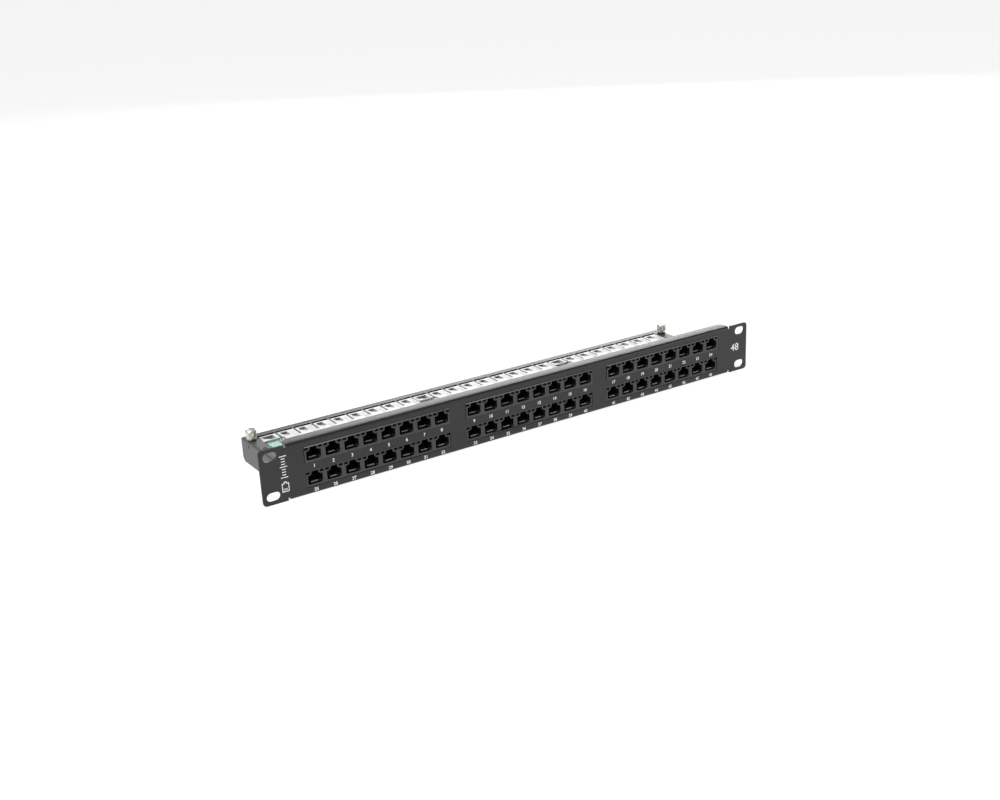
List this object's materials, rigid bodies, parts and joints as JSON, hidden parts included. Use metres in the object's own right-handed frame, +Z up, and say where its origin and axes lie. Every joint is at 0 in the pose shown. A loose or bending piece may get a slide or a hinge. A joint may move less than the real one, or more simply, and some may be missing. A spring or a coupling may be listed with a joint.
{
  "type": "patch panel",
  "caption": "Rack-mount network patch panel: bent steel front with two rows of modular sockets, rear tray with circuit boards and wire-termination strips.",
  "frame": {"origin": "centre of the bottom of the bounding box", "axes": "+X to the right along the panel, +Y back from the front face to the tray, +Z up"},
  "size_m": [0.4826, 0.0966, 0.0442],
  "materials": {
    "black_steel": "fine powder coat, satin black",
    "grey_steel": "fine powder coat, dark grey",
    "jack_plastic": "moulded, fine matte",
    "carrier_plastic": "moulded, matte",
    "board_laminate": "solder-masked glass laminate",
    "strip_plastic": "moulded, white",
    "plated_steel": "bright zinc or nickel plate",
    "dark_washer": "blackened"
  },
  "bodies": {
    "panel": {"board_screw_lower_left": "plated_steel", "board_screw_lower_middle": "plated_steel", "board_screw_lower_right": "plated_steel", "board_screw_upper_left": "plated_steel", "board_screw_upper_middle": "plated_steel", "board_screw_upper_right": "plated_steel", "board_spacer_left": "plated_steel", "board_spacer_middle": "plated_steel", "board_spacer_right": "plated_steel", "bottom_cover": "grey_steel", "circuit_board_lower_left": "board_laminate", "circuit_board_lower_middle": "board_laminate", "circuit_board_lower_right": "board_laminate", "circuit_board_upper_left": "board_laminate", "circuit_board_upper_middle": "board_laminate", "circuit_board_upper_right": "board_laminate", "contact_carrier_lower_left": "carrier_plastic", "contact_carrier_lower_middle": "carrier_plastic", "contact_carrier_lower_right": "carrier_plastic", "contact_carrier_upper_left": "carrier_plastic", "contact_carrier_upper_middle": "carrier_plastic", "contact_carrier_upper_right": "carrier_plastic", "cover_screw_left": "plated_steel", "cover_screw_right": "plated_steel", "front_panel": "black_steel", "idc_strip_lower_left": "strip_plastic", "idc_strip_lower_middle": "strip_plastic", "idc_strip_lower_right": "strip_plastic", "idc_strip_upper_left": "strip_plastic", "idc_strip_upper_middle": "strip_plastic", "idc_strip_upper_right": "strip_plastic", "jack_block_lower_left": "jack_plastic", "jack_block_lower_middle": "jack_plastic", "jack_block_lower_right": "jack_plastic", "jack_block_upper_left": "jack_plastic", "jack_block_upper_middle": "jack_plastic", "jack_block_upper_right": "jack_plastic", "rear_tray": "grey_steel", "thumbscrew_nut_left": "plated_steel", "thumbscrew_nut_right": "plated_steel", "thumbscrew_washer_left": "dark_washer", "thumbscrew_washer_right": "dark_washer", "tray_nut_left_lower": "plated_steel", "tray_nut_left_upper": "plated_steel", "tray_nut_right_lower": "plated_steel", "tray_nut_right_upper": "plated_steel"},
    "thumbscrew_left": {"thumbscrew_left": "plated_steel"},
    "thumbscrew_right": {"thumbscrew_right": "plated_steel"}
  },
  "joints": [
    {"name": "thumbscrew_left_turn", "type": "hinge", "parent": "panel", "child": "thumbscrew_left", "pos_m": [-0.2117, 0.0368, 0.0212], "axis": [0, 0, 1], "continuous": true},
    {"name": "thumbscrew_right_turn", "type": "hinge", "parent": "panel", "child": "thumbscrew_right", "pos_m": [0.2117, 0.0368, 0.0212], "axis": [0, 0, 1], "continuous": true}
  ]
}
